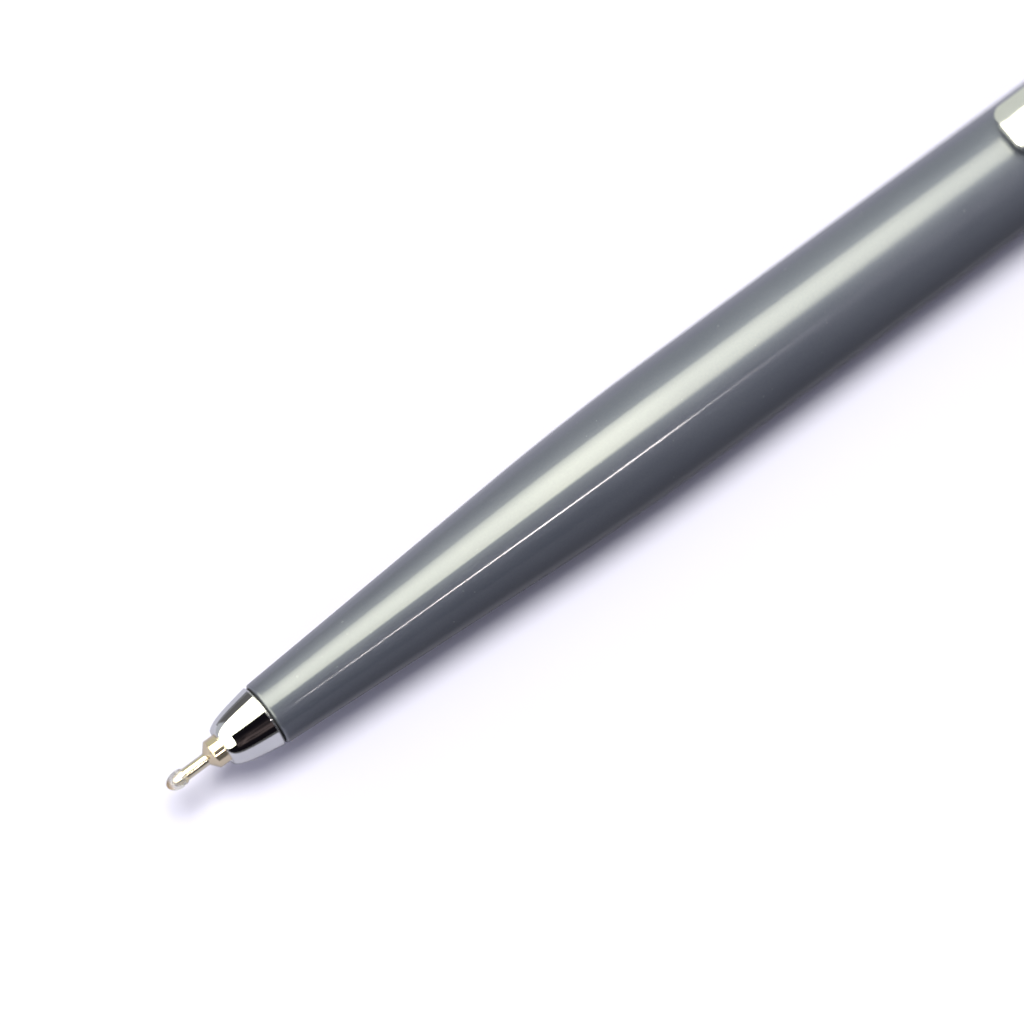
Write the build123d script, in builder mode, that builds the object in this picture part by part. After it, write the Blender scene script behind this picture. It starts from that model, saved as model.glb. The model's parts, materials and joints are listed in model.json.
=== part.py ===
from build123d import *
import os

# ----------------------------------------------------------------------------
# Retractable needle-point pen, millimetres.
# The pen's axis is X. The point is at -X, the button at +X, the clip on +Z.
# Stations are distances from the front of the point; at() turns a station
# into X, so that the origin is the middle of the straight part of the barrel.
# Outlines of turned pieces are lists of (station, radius).
# Dimensions shared by several pieces come first; the others head their section.
# ----------------------------------------------------------------------------

os.makedirs("parts", exist_ok=True)

origin_station = 65.75       # middle of the straight part of the barrel

# fits, on the radius or along the axis
slip_gap = 0.02
press_gap = 0.01

# threads, cut as separate rings
thread_depth = 0.14
thread_pitch = 0.50
thread_crest_start = 0.17    # offsets within one ring
thread_crest_end = 0.28
thread_root_start = 0.45

# barrel
barrel_front = 10.08
barrel_back = 122.0
bore_r = 4.40                # drawn tube, wall about 0.6
pilot_r = 2.30               # bore that centres the nose cone
bush_seat = 12.6             # shoulder the front bush is pressed against
bush_seat_r = 2.45
bore_corner = 45.6           # where the inner taper ends

# nose cone
nose_thread_r = 2.17
spring_seat = 8.0

# refill
ball_r = 0.25
ball_station = 0.86
ball_gap = 0.02
needle_r = 0.545
needle_front = 0.75
needle_back = 6.5
needle_swage = (             # outside of the needle's front, (station, radius)
    (needle_front, 0.29),
    (needle_front + 0.16, 0.35),
    (needle_front + 0.62, needle_r),
)
collar_front = 17.9
collar_back = 18.7
barb_end = 23.0
tube_r = 1.50
ink_r = 1.00
ink_end = 78.0
tube_back = 101.0
plug_back = 101.6

# click mechanism
body_back = 129.0
body_r = 3.98
chamber_r = 3.45
button_bore_r = 3.30
plunger_flat = 2.40          # height of the flat that carries the latch track
foot_r = 2.00
stem_r = 2.20
stem_back = 135.0
track_depth = 0.80
hook_station = 111.0         # where the latch wire's hook stays
latch_r = 0.25
latch_height = 3.25
latch_hole_front = 103.9
ring_front = 102.6           # groove of the stop ring
ring_back = 103.4
groove_depth = 0.17

# tail and clip
bush_r = 3.05                # bore of the button bush
band_front = 122.0
band_back = 125.4
pad_top = 5.60


def at(station):
    """X of a station, a distance from the front of the point."""
    return station - origin_station


def mid(front, back):
    """X of the middle between two stations."""
    return at((front + back) / 2)


def placed(outline):
    """(x, height) points of an outline given as (station, height)."""
    return [(at(station), height) for station, height in outline]


def dish(radius, rim, depth):
    """Offset along the pen, from the rim, of a spherical dish or dome at a radius."""
    sphere = (rim**2 + depth**2) / (2 * depth)
    return sphere - depth - (sphere**2 - radius**2) ** 0.5


def thread_rings(first, last, crest):
    """Outline of a thread cut as rings, from one station to another."""
    root = crest - thread_depth
    points = []
    start = first
    while start + thread_pitch <= last + 1e-6:
        points += [
            (start, root),
            (start + thread_crest_start, crest),
            (start + thread_crest_end, crest),
            (start + thread_root_start, root),
        ]
        start += thread_pitch
    return points


def mirrored(half):
    """Closed outline from its +Y half, whose points run from one end to the other."""
    return [*half, *[(offset, -y) for offset, y in reversed(half) if y]]


def corner(sketch, station, radius):
    """The vertex of a profile sketch nearest to a station and radius."""
    return sketch.vertices().sort_by_distance((at(station), radius, 0))[0]


def turned(outline):
    """A piece turned from one closed outline."""
    with BuildPart() as piece:
        with BuildSketch(Plane.XY):
            with BuildLine():
                Polyline(*placed(outline), close=True)
            make_face()
        revolve(axis=Axis.X)
    return piece.part


def cylinder(front, back, outer_r, inner_r=0):
    """A plain rod, or a tube if it has an inner radius."""
    with BuildPart() as piece:
        with BuildSketch(Plane.YZ.offset(at(front))):
            Circle(radius=outer_r)
            if inner_r:
                Circle(radius=inner_r, mode=Mode.SUBTRACT)
        extrude(amount=back - front)
    return piece.part


def save(part, name):
    """Label a piece and write its STEP file."""
    part.label = name
    export_step(part, f"parts/{name}.step")


# ---------------------------------------------------------------- barrel
# Drawn tube: long taper, soft blend, straight grip, then very slightly slimmer to the back.
grip_r = 5.0                 # straight part
taper_corner = 44.94         # where the taper's line meets the straight line
blend_r = 275.0              # long soft blend between the two
lip_r = 2.884                # front lip
lip_round = 0.25
barrel_back_r = 4.90
barrel_back_chamfer = 0.12

# the straight part: from the end of the blend to as far again behind the origin
taper_slope = (grip_r - lip_r) / (taper_corner - barrel_front)
grip_start = taper_corner + blend_r * ((1 + taper_slope**2) ** 0.5 - 1) / taper_slope
grip_end = 2 * origin_station - grip_start

barrel_outline = (
    (barrel_front, pilot_r),
    (barrel_front, lip_r),
    (taper_corner, grip_r),
    (grip_end, grip_r),
    (barrel_back, barrel_back_r),
    (barrel_back, bore_r),
    (bore_corner, bore_r),
    (bush_seat, bush_seat_r),
    (bush_seat, pilot_r),
)
with BuildPart() as barrel:
    with BuildSketch(Plane.XY) as barrel_profile:
        with BuildLine():
            Polyline(*placed(barrel_outline), close=True)
        make_face()
        fillet(corner(barrel_profile, taper_corner, grip_r), radius=blend_r)
        fillet(corner(barrel_profile, barrel_front, lip_r), radius=lip_round)
        chamfer(corner(barrel_profile, barrel_back, barrel_back_r), length=barrel_back_chamfer)
    revolve(axis=Axis.X)
save(barrel.part, "barrel")

# ---------------------------------------------------------------- front thread bush
# Brass bush wedged in the barrel's taper; the nose cone screws into it.
front_bush_front = bush_seat + slip_gap
front_bush_length = 7.0
front_bush_back = front_bush_front + front_bush_length
front_bush_r = bush_seat_r - press_gap
front_bush_bore_r = nose_thread_r + 0.03
front_bush_bevel = 0.3       # at the back of the bore
wall_slope = (bore_r - bush_seat_r) / (bore_corner - bush_seat)

front_thread_bush = turned((
    (front_bush_front, front_bush_bore_r),
    (front_bush_front, front_bush_r),
    (front_bush_back, front_bush_r + wall_slope * front_bush_length),
    (front_bush_back, front_bush_bore_r + front_bush_bevel),
    (front_bush_back - front_bush_bevel, front_bush_bore_r),
))
save(front_thread_bush, "front_thread_bush")

# ---------------------------------------------------------------- rear thread bush
# Brass bush flush with the barrel's back end; the mechanism screws into it.
rear_bush_front = 112.0
rear_bush_chamfer = 0.15
rear_bush_outline = (
    (rear_bush_front, body_r + slip_gap),
    (rear_bush_front, bore_r - press_gap),
    (barrel_back, bore_r - press_gap),
    (barrel_back, body_r + slip_gap),
)
with BuildPart() as rear_thread_bush:
    with BuildSketch(Plane.XY) as rear_bush_profile:
        with BuildLine():
            Polyline(*placed(rear_bush_outline), close=True)
        make_face()
        chamfer(corner(rear_bush_profile, rear_bush_front, bore_r), length=rear_bush_chamfer)
    revolve(axis=Axis.X)
save(rear_thread_bush.part, "rear_thread_bush")

# ---------------------------------------------------------------- nose cone
# Convex outside, a shoulder that leaves a fine groove, pilot, thread, and the spring's bore.
nose_front = 5.57
nose_back = 9.90
nose_hole_r = 1.335
nose_mouth_r = 1.47          # flared mouth of the hole
nose_mouth_depth = 0.13
nose_rim_r = 1.62            # outside of the flat front rim
# outside of the cone, (station, radius)
nose_edge = (5.63, 1.735)    # where the front rounding meets the side
nose_rounding = (            # control points of the front rounding
    (nose_front, nose_rim_r + 0.05),
    (nose_edge[0] - 0.03, nose_edge[1] - 0.025),
)
nose_side = ((6.204, 2.221), (7.347, 2.431))   # control points of the convex side
nose_wide = (9.765, 2.823)   # where the back rounding starts
nose_turn = ((9.85, 2.837), (9.90, 2.82))      # control points of the back rounding
nose_heel = (nose_back, 2.75)
nose_shoulder_r = 2.66       # dark groove between cone and barrel
nose_pilot_r = pilot_r - slip_gap
nose_root_r = nose_thread_r - thread_depth
spigot_end = 17.0
spring_bore_r = 1.72
spring_bore_bevel = 0.1

# from the heel inwards, back along the spigot, and forward through the bore
nose_inner_outline = (
    (nose_back, nose_shoulder_r),
    (barrel_front, nose_shoulder_r),
    (barrel_front, nose_pilot_r),
    (bush_seat - 0.1, nose_pilot_r),
    (bush_seat + 0.05, nose_root_r),
    *thread_rings(bush_seat + 0.15, spigot_end - 0.2, nose_thread_r),
    (spigot_end, nose_root_r),
    (spigot_end, spring_bore_r + spring_bore_bevel),
    (spigot_end - spring_bore_bevel, spring_bore_r),
    (spring_seat, spring_bore_r),
    (spring_seat, nose_hole_r),
    (nose_front + nose_mouth_depth, nose_hole_r),
)
with BuildPart() as nose_cone:
    with BuildSketch(Plane.XY):
        with BuildLine():
            rim_line = Line((at(nose_front), nose_mouth_r), (at(nose_front), nose_rim_r))
            rounding_line = Bezier(rim_line @ 1, *placed((*nose_rounding, nose_edge)))
            side_line = Bezier(rounding_line @ 1, *placed((*nose_side, nose_wide)))
            turn_line = Bezier(side_line @ 1, *placed((*nose_turn, nose_heel)))
            Polyline(turn_line @ 1, *placed(nose_inner_outline), rim_line @ 0)
        make_face()
    revolve(axis=Axis.X)
save(nose_cone.part, "nose_cone")

# ---------------------------------------------------------------- writing ball
# The sphere's poles are on its Y axis, the axis it is taken to roll about.
ball_place = Location((at(ball_station), 0, 0), (90, 0, 0))
with BuildPart() as writing_ball:
    with Locations(ball_place):
        Sphere(radius=ball_r)
save(writing_ball.part, "writing_ball")

# ---------------------------------------------------------------- needle tube
# Fine tube with a swaged front and the ball's cup.
needle_bore_r = 0.20
feed_r = 0.10                # narrow bore just behind the ball
needle_outline = (
    (needle_front, feed_r),
    *needle_swage,
    (needle_back, needle_r),
    (needle_back, needle_bore_r),
    (2.2, needle_bore_r),
    (1.9, feed_r),
)
with BuildPart() as needle_tube:
    with BuildSketch(Plane.XY):
        with BuildLine():
            Polyline(*placed(needle_outline), close=True)
        make_face()
    revolve(axis=Axis.X)
    with Locations(ball_place):
        Sphere(radius=ball_r + ball_gap, mode=Mode.SUBTRACT)
save(needle_tube.part, "needle_tube")

# ---------------------------------------------------------------- tip seal bead
# Clear blob around the ball and the front of the needle.
bead_length = 1.80
bead_r = 0.76
bead_wide = 1.15             # station of the bead's widest ring
needle_cut_back = bead_length + 0.2

# control points, (station, radius)
bead_nose = ((0, 0), (0, 0.38), (bead_wide - 0.62, bead_r), (bead_wide, bead_r))
bead_skirt = (
    (bead_wide + 0.34, bead_r),
    (bead_length - 0.06, bead_r - 0.07),
    (bead_length, needle_r),
)
needle_cut = (
    (needle_front, 0),
    *needle_swage,
    (needle_cut_back, needle_r),
    (needle_cut_back, 0),
)
with BuildPart() as tip_seal_bead:
    with BuildSketch(Plane.XY):
        with BuildLine():
            nose_curve = Bezier(*placed(bead_nose))
            skirt_curve = Bezier(nose_curve @ 1, *placed(bead_skirt))
            Line(skirt_curve @ 1, nose_curve @ 0)
        make_face()
    revolve(axis=Axis.X)
    # room for the needle and the ball
    with BuildSketch(Plane.XY):
        with BuildLine():
            Polyline(*placed(needle_cut), close=True)
        make_face()
    revolve(axis=Axis.X, mode=Mode.SUBTRACT)
    with Locations(ball_place):
        Sphere(radius=ball_r + ball_gap, mode=Mode.SUBTRACT)
save(tip_seal_bead.part, "tip_seal_bead")

# ---------------------------------------------------------------- refill tip socket
# Stepped brass body: cone, cylinder that runs in the nose hole, spring collar, barbed tail.
socket_cone_front = 3.96
socket_cone_back = 4.53
socket_r = 1.285
socket_needle_r = needle_r + press_gap
socket_bore_r = 0.35
socket_bevel = 0.05
collar_r = 1.62
tail_r = 0.92
tail_end_r = 0.86
barb_r = 1.0
barb_rise = 0.1
barb_starts = (19.6, 20.5, 21.5)

barb_outline = []
for barb_start in barb_starts:
    barb_outline += [(barb_start, tail_r), (barb_start + barb_rise, barb_r)]

refill_tip_socket = turned((
    (socket_cone_front, socket_needle_r),
    (socket_cone_front, needle_r + 0.03),
    (socket_cone_back, socket_r - 0.03),
    (socket_cone_back + 0.05, socket_r),
    (collar_front, socket_r),
    (collar_front, collar_r - socket_bevel),
    (collar_front + socket_bevel, collar_r),
    (collar_back, collar_r),
    (collar_back, tail_r),
    *barb_outline,
    (barb_end, tail_end_r),
    (barb_end, socket_bore_r),
    (needle_back, socket_bore_r),
    (needle_back, socket_needle_r),
))
save(refill_tip_socket, "refill_tip_socket")

# ---------------------------------------------------------------- refill tube and ink
tube_bore_r = 1.02
save(cylinder(collar_back, tube_back, tube_r, tube_bore_r), "refill_tube")
save(cylinder(barb_end + slip_gap, ink_end, ink_r), "ink_column")

# ---------------------------------------------------------------- follower grease
# Plug of grease behind the ink, with a hollow back face.
grease_end = 82.0
dish_depth = 0.4
with BuildPart() as follower_grease:
    with BuildSketch(Plane.XY):
        with BuildLine():
            Polyline(*placed(((ink_end, 0), (ink_end, ink_r), (grease_end, ink_r))))
            ThreePointArc(
                (at(grease_end), ink_r),
                (at(grease_end) + dish(ink_r / 2, ink_r, dish_depth), ink_r / 2),
                (at(grease_end - dish_depth), 0),
            )
            Line((at(grease_end - dish_depth), 0), (at(ink_end), 0))
        make_face()
    revolve(axis=Axis.X)
save(follower_grease.part, "follower_grease")

# ---------------------------------------------------------------- refill end plug
# Vented plug with a head that sits on the tube's end.
plug_front = 98.0
plug_front_r = 0.90
plug_lead = 0.2              # length of the tapered front
vent_r = 0.30

refill_end_plug = turned((
    (plug_front, vent_r),
    (plug_front, plug_front_r),
    (plug_front + plug_lead, ink_r),
    (tube_back, ink_r),
    (tube_back, tube_r),
    (plug_back, tube_r),
    (plug_back, vent_r),
))
save(refill_end_plug, "refill_end_plug")

# ---------------------------------------------------------------- return spring
# Open coil between the nose cone's seat and the refill's collar.
spring_wire_r = 0.125
spring_mean_r = 1.50
spring_pitch = 0.78
spring_inset = spring_wire_r + 0.03   # from seat or collar to the wire's centre
spring_start = spring_seat + spring_inset
spring_end = collar_front - spring_inset
with BuildPart() as return_spring:
    with BuildLine() as spring_path:
        Helix(
            pitch=spring_pitch,
            height=spring_end - spring_start,
            radius=spring_mean_r,
            center=(at(spring_start), 0, 0),
            direction=(1, 0, 0),
        )
    with BuildSketch(Plane(origin=spring_path.line @ 0, z_dir=spring_path.line % 0)):
        Circle(radius=spring_wire_r)
    sweep(path=spring_path.line, is_frenet=True)
save(return_spring.part, "return_spring")

# ---------------------------------------------------------------- mechanism body
# Turned brass body: chamber with a flat side for the plunger, lip that stops it, bore for the
# button, a window over the latch track and a blind hole that holds the latch wire.
body_front = 102.2
body_bevel = 0.15
body_root_r = body_r - thread_depth
chamber_back = 121.0
lip_back = 122.6
stem_hole_r = stem_r + 0.05
groove_r = chamber_r + groove_depth
flat_gap = 0.05
flat_tool = 20               # square that trims the flat side's section
window_front = 106.5
window_back = 113.2
window_w = 3.2
window_corner = 0.5
window_bottom = plunger_flat - 0.2
window_cut = 3.0
latch_hole_depth = 3.2

body_outline = (
    (body_front, chamber_r),
    (body_front, body_r - body_bevel),
    (body_front + body_bevel, body_r),
    # thread in the rear bush
    (112.5, body_r),
    (112.6, body_root_r),
    *thread_rings(112.7, 121.0, body_r),
    (121.3, body_root_r),
    (121.4, body_r),
    # thread in the tail sleeve
    (band_back - 0.1, body_r),
    (band_back, body_root_r),
    *thread_rings(band_back + 0.1, 128.6, body_r),
    (body_back, body_root_r),
    # button bore, lip, chamber and ring groove
    (body_back, button_bore_r),
    (lip_back, button_bore_r),
    (lip_back, stem_hole_r),
    (chamber_back, stem_hole_r),
    (chamber_back, chamber_r),
    (ring_back, chamber_r),
    (ring_back, groove_r),
    (ring_front, groove_r),
    (ring_front, chamber_r),
)
with BuildPart() as mechanism_body:
    with BuildSketch(Plane.XY):
        with BuildLine():
            Polyline(*placed(body_outline), close=True)
        make_face()
    revolve(axis=Axis.X)
    # the flat side of the chamber
    with BuildSketch(Plane.YZ.offset(at(ring_back))):
        Circle(radius=chamber_r)
        with Locations((0, plunger_flat + flat_gap - flat_tool / 2)):
            Rectangle(flat_tool, flat_tool, mode=Mode.SUBTRACT)
    extrude(amount=chamber_back - ring_back)
    # window for the hook's side swing
    with BuildSketch(Plane.XY.offset(window_bottom)):
        with Locations((mid(window_front, window_back), 0)):
            RectangleRounded(window_back - window_front, window_w, window_corner)
    extrude(amount=window_cut, mode=Mode.SUBTRACT)
    # blind hole of the latch wire
    with BuildSketch(Plane.YZ.offset(at(latch_hole_front))):
        with Locations((0, latch_height)):
            Circle(radius=latch_r + press_gap)
    extrude(amount=latch_hole_depth, mode=Mode.SUBTRACT)
save(mechanism_body.part, "mechanism_body")

# ---------------------------------------------------------------- stop ring
# Snap ring in the groove at the front of the chamber, open towards -Z.
ring_gap_w = 2.4
ring_gap_height = 4
ring_gap_z = -3
with BuildPart() as stop_ring:
    with BuildSketch(Plane.YZ.offset(at(ring_front + press_gap))):
        Circle(radius=chamber_r + groove_depth - slip_gap)
        Circle(radius=foot_r + 0.1, mode=Mode.SUBTRACT)
        with Locations((0, ring_gap_z)):
            Rectangle(ring_gap_w, ring_gap_height, mode=Mode.SUBTRACT)
    extrude(amount=ring_back - ring_front - 2 * press_gap)
save(stop_ring.part, "stop_ring")

# ---------------------------------------------------------------- cam plunger
# Foot that pushes the refill, block with a flat, heart-shaped latch track, stem for the button.
plunger_r = 3.40
block_front = 104.4
block_back = 116.0
block_bevel = 0.2
foot_bevel = 0.1
foot_recess_r = tube_r + 0.1   # recess over the refill's end
stroke_back = 5.0            # point goes in by this much
stroke_over = 1.0            # over-travel that releases the latch
flat_cut_w = 9
flat_cut_height = 2.0
flat_cut_over = 0.4          # extra length of the cut, both ends together

plunger_outline = (
    (plug_back, 0),
    (plug_back, foot_recess_r),
    (tube_back, foot_recess_r),
    (tube_back, foot_r - foot_bevel),
    (tube_back + foot_bevel, foot_r),
    (block_front, foot_r),
    (block_front, plunger_r - block_bevel),
    (block_front + block_bevel, plunger_r),
    (block_back, plunger_r),
    (block_back, stem_r),
    (stem_back, stem_r),
    (stem_back, 0),
)
# +Y halves of the track and its island, (offset behind the hook station, y)
track_half = (
    (-stroke_back - 0.4, 0.40),
    (-1.0, 1.75),
    (0.8, 1.75),
    (stroke_over + 0.45, 1.20),
    (stroke_over + 0.45, 0.45),
    (stroke_over + 0.28, 0),
)
island_half = ((-4.1, 0), (-1.1, 1.05), (0, 1.05), (0.55, 0.65), (-0.49, 0))


def hook_outline(half):
    """Points of a closed outline from its +Y half around the hook station."""
    return [(at(hook_station + offset), y) for offset, y in mirrored(half)]


with BuildPart() as cam_plunger:
    with BuildSketch(Plane.XY):
        with BuildLine():
            Polyline(*placed(plunger_outline), close=True)
        make_face()
    revolve(axis=Axis.X)
    # flat side
    with BuildSketch(Plane.XY.offset(plunger_flat)):
        with Locations((mid(block_front, block_back), 0)):
            Rectangle(block_back - block_front + flat_cut_over, flat_cut_w)
    extrude(amount=flat_cut_height, mode=Mode.SUBTRACT)
    # track around the heart-shaped island
    with BuildSketch(Plane.XY.offset(plunger_flat)):
        with BuildLine():
            Polyline(*hook_outline(track_half), close=True)
        make_face()
        with BuildLine():
            Polyline(*hook_outline(island_half), close=True)
        make_face(mode=Mode.SUBTRACT)
    extrude(amount=-track_depth, mode=Mode.SUBTRACT)
save(cam_plunger.part, "cam_plunger")

# ---------------------------------------------------------------- latch wire
# Straight spring wire with its front in the blind hole and a hook down into the track.
wire_front = latch_hole_front + 0.05
hook_bottom = plunger_flat - track_depth + 0.1
hook_bend_r = 0.5
hook_bend = (at(hook_station), 0, latch_height)
with BuildPart() as latch_wire:
    with BuildLine() as wire_path:
        Polyline(
            (at(wire_front), 0, latch_height),
            hook_bend,
            (at(hook_station), 0, hook_bottom),
        )
        fillet(wire_path.vertices().sort_by_distance(hook_bend)[0], radius=hook_bend_r)
    with BuildSketch(Plane(origin=wire_path.line @ 0, z_dir=wire_path.line % 0)):
        Circle(radius=latch_r)
    sweep(path=wire_path.line)
save(latch_wire.part, "latch_wire")

# ---------------------------------------------------------------- push button
# Hollow cup on the plunger's stem, with a domed end.
button_r = 3.00
button_front = 124.0
button_back = 137.0
dome = 0.5                   # rise of the domed end
dome_base = button_back - dome
dome_round = 0.7
button_chamfer = 0.1
button_outline = (
    (button_front, button_r),
    (button_front, stem_r + press_gap),
    (stem_back, stem_r + press_gap),
    (stem_back, 0),
)
with BuildPart() as push_button:
    with BuildSketch(Plane.XY) as button_profile:
        with BuildLine():
            dome_line = ThreePointArc(
                (at(button_back), 0),
                (at(dome_base) - dish(button_r / 2, button_r, dome), button_r / 2),
                (at(dome_base), button_r),
            )
            Polyline(dome_line @ 1, *placed(button_outline), dome_line @ 0)
        make_face()
        fillet(corner(button_profile, dome_base, button_r), radius=dome_round)
        chamfer(corner(button_profile, button_front, button_r), length=button_chamfer)
    revolve(axis=Axis.X)
save(push_button.part, "push_button")

# ---------------------------------------------------------------- button bush
button_bush_front = 126.5
button_bush = cylinder(button_bush_front, body_back, button_bore_r - press_gap, bush_r)
save(button_bush, "button_bush")

# ---------------------------------------------------------------- tail sleeve
# Screws onto the mechanism's back thread and clamps the clip band.
sleeve_back = 130.6
sleeve_r = 4.95
sleeve_back_r = sleeve_r - 0.42
sleeve_bevel = 0.1           # at the front edge
sleeve_round = 0.5
sleeve_chamfer = 0.15
sleeve_side = (              # (station, radius)
    (band_back + sleeve_bevel, sleeve_r),
    (128.2, sleeve_r - 0.09),
    (sleeve_back, sleeve_back_r),
)
sleeve_inner_outline = (
    (sleeve_back, bush_r + press_gap),
    (body_back, bush_r + press_gap),
    (body_back, body_r + slip_gap),
    (band_back, body_r + slip_gap),
    (band_back, sleeve_r - sleeve_bevel),
)
with BuildPart() as tail_sleeve:
    with BuildSketch(Plane.XY) as sleeve_profile:
        with BuildLine():
            sleeve_line = Spline(*placed(sleeve_side), tangents=[(1, 0), (1, -0.24)])
            Polyline(sleeve_line @ 1, *placed(sleeve_inner_outline), sleeve_line @ 0)
        make_face()
        fillet(corner(sleeve_profile, sleeve_back, sleeve_back_r), radius=sleeve_round)
        chamfer(corner(sleeve_profile, sleeve_back, bush_r), length=sleeve_chamfer)
    revolve(axis=Axis.X)
save(tail_sleeve.part, "tail_sleeve")

# ---------------------------------------------------------------- clip band
# Chrome ring with a raised pad for the clip's foot.
band_r = 5.15
band_length = band_back - band_front
band_round = 0.15
pad_w = 4.6
pad_height = 3.0
pad_corner = 0.35
with BuildPart() as clip_band:
    with BuildSketch(Plane.YZ.offset(at(band_front))):
        Circle(radius=band_r)
        with Locations((0, pad_top - pad_height / 2)):
            RectangleRounded(pad_w, pad_height, pad_corner)
    extrude(amount=band_length)
    # round both end faces' edges before the bore is cut, so that the bore stays sharp
    fillet(
        clip_band.edges().group_by(Axis.X)[0] + clip_band.edges().group_by(Axis.X)[-1],
        radius=band_round,
    )
    with BuildSketch(Plane.YZ.offset(at(band_front))):
        Circle(radius=body_r + slip_gap)
    extrude(amount=band_length, mode=Mode.SUBTRACT)
save(clip_band.part, "clip_band")

# ---------------------------------------------------------------- clip
# Spring blade: crowned across, gently bowed along, rounded free end, foot on the band's pad and
# a ridge that bears on the barrel.
clip_front = 87.2
clip_back = 125.2
clip_w = 4.80
clip_corner = 1.20
clip_over = 0.3              # the loft runs past both ends, then the outline trims it
trim_bottom = 5.0
trim_height = 4.0
clip_foot_front = 121.9
clip_foot_w = 4.2
clip_foot_corner = 0.5
clip_foot_height = 0.9
ridge_front = 89.0
ridge_back = 91.2
ridge_top = 6.15
ridge_bottom = 5.03
ridge_half_w = 1.5

# station, height of the underside, of the side edges and of the crown
clip_sections = (
    (clip_front - clip_over, 5.93, 6.38, 6.90),
    (97.0, 6.05, 6.52, 7.06),
    (110.0, 6.20, 6.66, 7.22),
    (119.0, 6.22, 6.66, 7.22),
    (clip_back + clip_over, 6.05, 6.48, 7.04),
)
with BuildPart() as clip:
    for station, under, edge, crown in clip_sections:
        with BuildSketch(Plane.YZ.offset(at(station))):
            with BuildLine():
                Polyline(
                    (-clip_w / 2, edge),
                    (-clip_w / 2, under),
                    (clip_w / 2, under),
                    (clip_w / 2, edge),
                )
                ThreePointArc((clip_w / 2, edge), (0, crown), (-clip_w / 2, edge))
            make_face()
    loft()
    # outline seen from above, with rounded corners
    with BuildSketch(Plane.XY.offset(trim_bottom)):
        with Locations((mid(clip_front, clip_back), 0)):
            RectangleRounded(clip_back - clip_front, clip_w, clip_corner)
    extrude(amount=trim_height, mode=Mode.INTERSECT)
    # foot
    with BuildSketch(Plane.XY.offset(pad_top)):
        with Locations((mid(clip_foot_front, clip_back), 0)):
            RectangleRounded(clip_back - clip_foot_front, clip_foot_w, clip_foot_corner)
    extrude(amount=clip_foot_height)
    # bearing ridge
    with BuildSketch(Plane.XZ):
        with BuildLine():
            ridge_arc = ThreePointArc(
                (at(ridge_front), ridge_top),
                (mid(ridge_front, ridge_back), ridge_bottom),
                (at(ridge_back), ridge_top),
            )
            Line(ridge_arc @ 1, ridge_arc @ 0)
        make_face()
    extrude(amount=ridge_half_w, both=True)
save(clip.part, "clip")
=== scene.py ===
import json
import math

import bpy
import numpy as np
from mathutils import Matrix, Vector


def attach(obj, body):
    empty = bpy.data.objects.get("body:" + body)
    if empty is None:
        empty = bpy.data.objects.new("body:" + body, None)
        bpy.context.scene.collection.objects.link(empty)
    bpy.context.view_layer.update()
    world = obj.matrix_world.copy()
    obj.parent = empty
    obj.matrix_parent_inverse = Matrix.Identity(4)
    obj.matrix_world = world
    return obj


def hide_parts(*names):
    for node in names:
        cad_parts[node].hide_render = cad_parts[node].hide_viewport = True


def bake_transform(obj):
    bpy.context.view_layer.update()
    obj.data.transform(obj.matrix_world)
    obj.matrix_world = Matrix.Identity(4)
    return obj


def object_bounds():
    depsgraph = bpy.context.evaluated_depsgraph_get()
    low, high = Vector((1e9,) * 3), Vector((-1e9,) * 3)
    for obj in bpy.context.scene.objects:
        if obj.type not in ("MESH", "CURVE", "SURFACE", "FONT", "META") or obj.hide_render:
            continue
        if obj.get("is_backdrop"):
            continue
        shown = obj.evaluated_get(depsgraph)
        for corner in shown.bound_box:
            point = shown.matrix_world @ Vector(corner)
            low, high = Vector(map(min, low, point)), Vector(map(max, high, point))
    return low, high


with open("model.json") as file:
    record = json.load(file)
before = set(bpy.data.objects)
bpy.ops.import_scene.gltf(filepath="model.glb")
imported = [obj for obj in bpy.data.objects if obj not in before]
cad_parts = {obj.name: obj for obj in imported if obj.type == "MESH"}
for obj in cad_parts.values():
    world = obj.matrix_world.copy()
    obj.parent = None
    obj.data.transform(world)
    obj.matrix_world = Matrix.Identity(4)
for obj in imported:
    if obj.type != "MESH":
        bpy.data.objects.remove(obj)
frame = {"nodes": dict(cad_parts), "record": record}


def write_box(tag, store={}):
    lo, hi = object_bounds()
    store[tag] = [[float(v) for v in lo], [float(v) for v in hi]]
    return store


write_box("after_load")
nodes = frame["nodes"]
scene = bpy.context.scene

MM = 0.001
ORIGIN = 65.75  # station of the origin, mm from the front of the point


def at(station):
    return station - ORIGIN


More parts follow.
